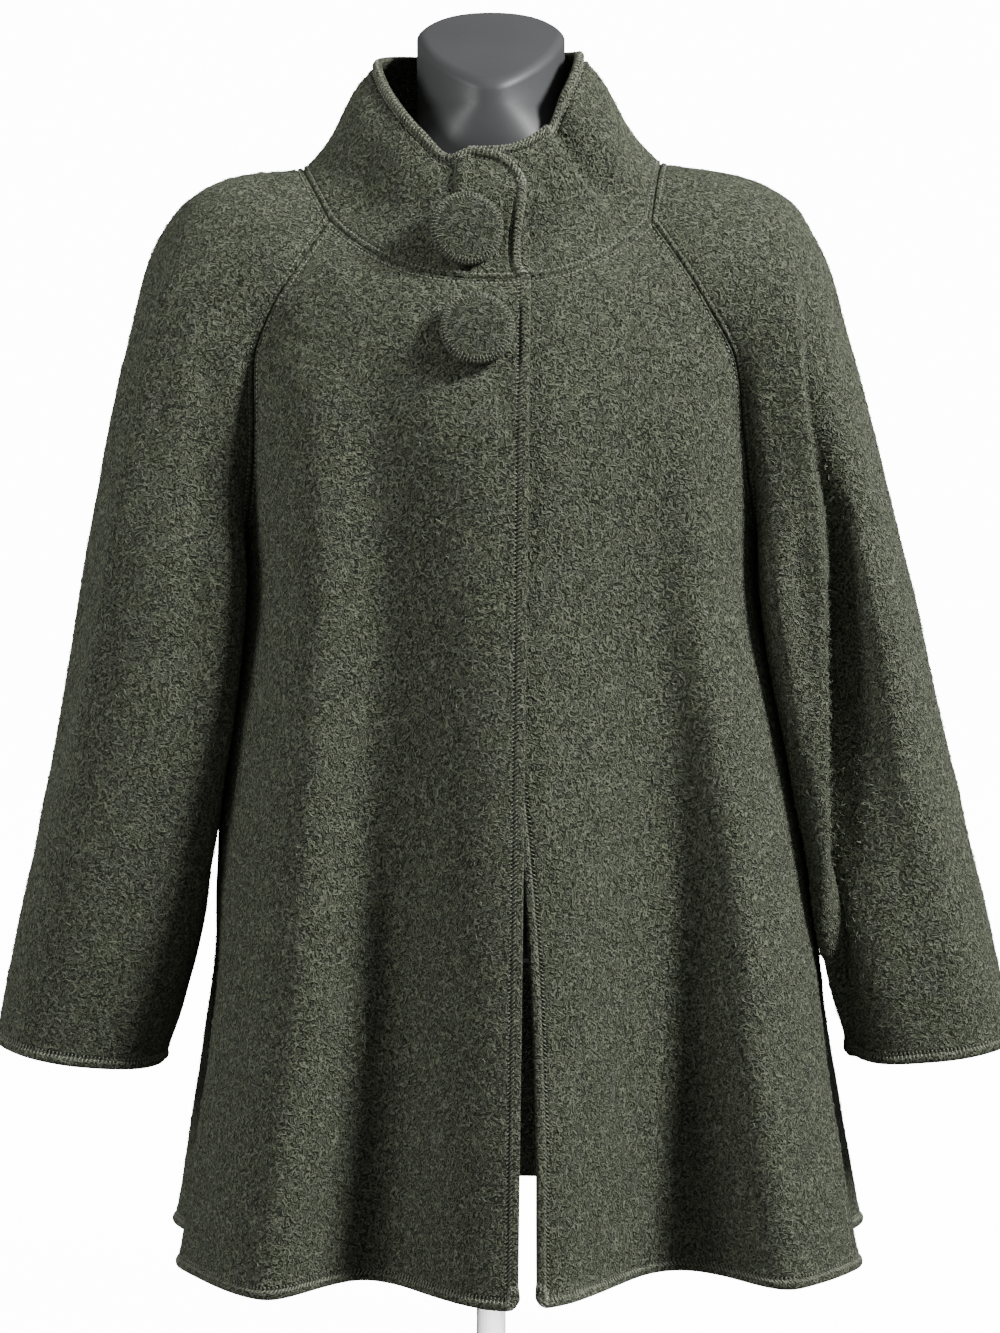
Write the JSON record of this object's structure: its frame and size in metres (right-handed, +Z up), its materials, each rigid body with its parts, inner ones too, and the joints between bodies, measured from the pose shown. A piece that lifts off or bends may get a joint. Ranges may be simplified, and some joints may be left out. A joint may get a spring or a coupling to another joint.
{
  "type": "wool a-line coat on a dress form",
  "caption": "Flared wool coat with raglan sleeves, a funnel collar with a buttoned overlap and large covered buttons, worn by a limbless dress form on a round stand.",
  "frame": {"origin": "centre of the stand base's underside, where the part stands", "axes": "+Z up, -Y the way the coat's front faces, +X towards the coat's left sleeve as worn"},
  "size_m": [0.7568, 0.3831, 1.0446],
  "materials": {
    "green_wool": "boiled wool with a short curled nap",
    "grey_plastic": "satin",
    "painted_steel": "satin"
  },
  "bodies": {
    "root": {"front_right": "green_wool", "front_left": "green_wool", "back": "green_wool", "sleeve_right": "green_wool", "sleeve_left": "green_wool", "collar": "green_wool", "button_collar": "green_wool", "button_front": "green_wool", "dress_form": "grey_plastic", "stand_pole": "painted_steel", "stand_base": "painted_steel"}
  },
  "joints": []
}
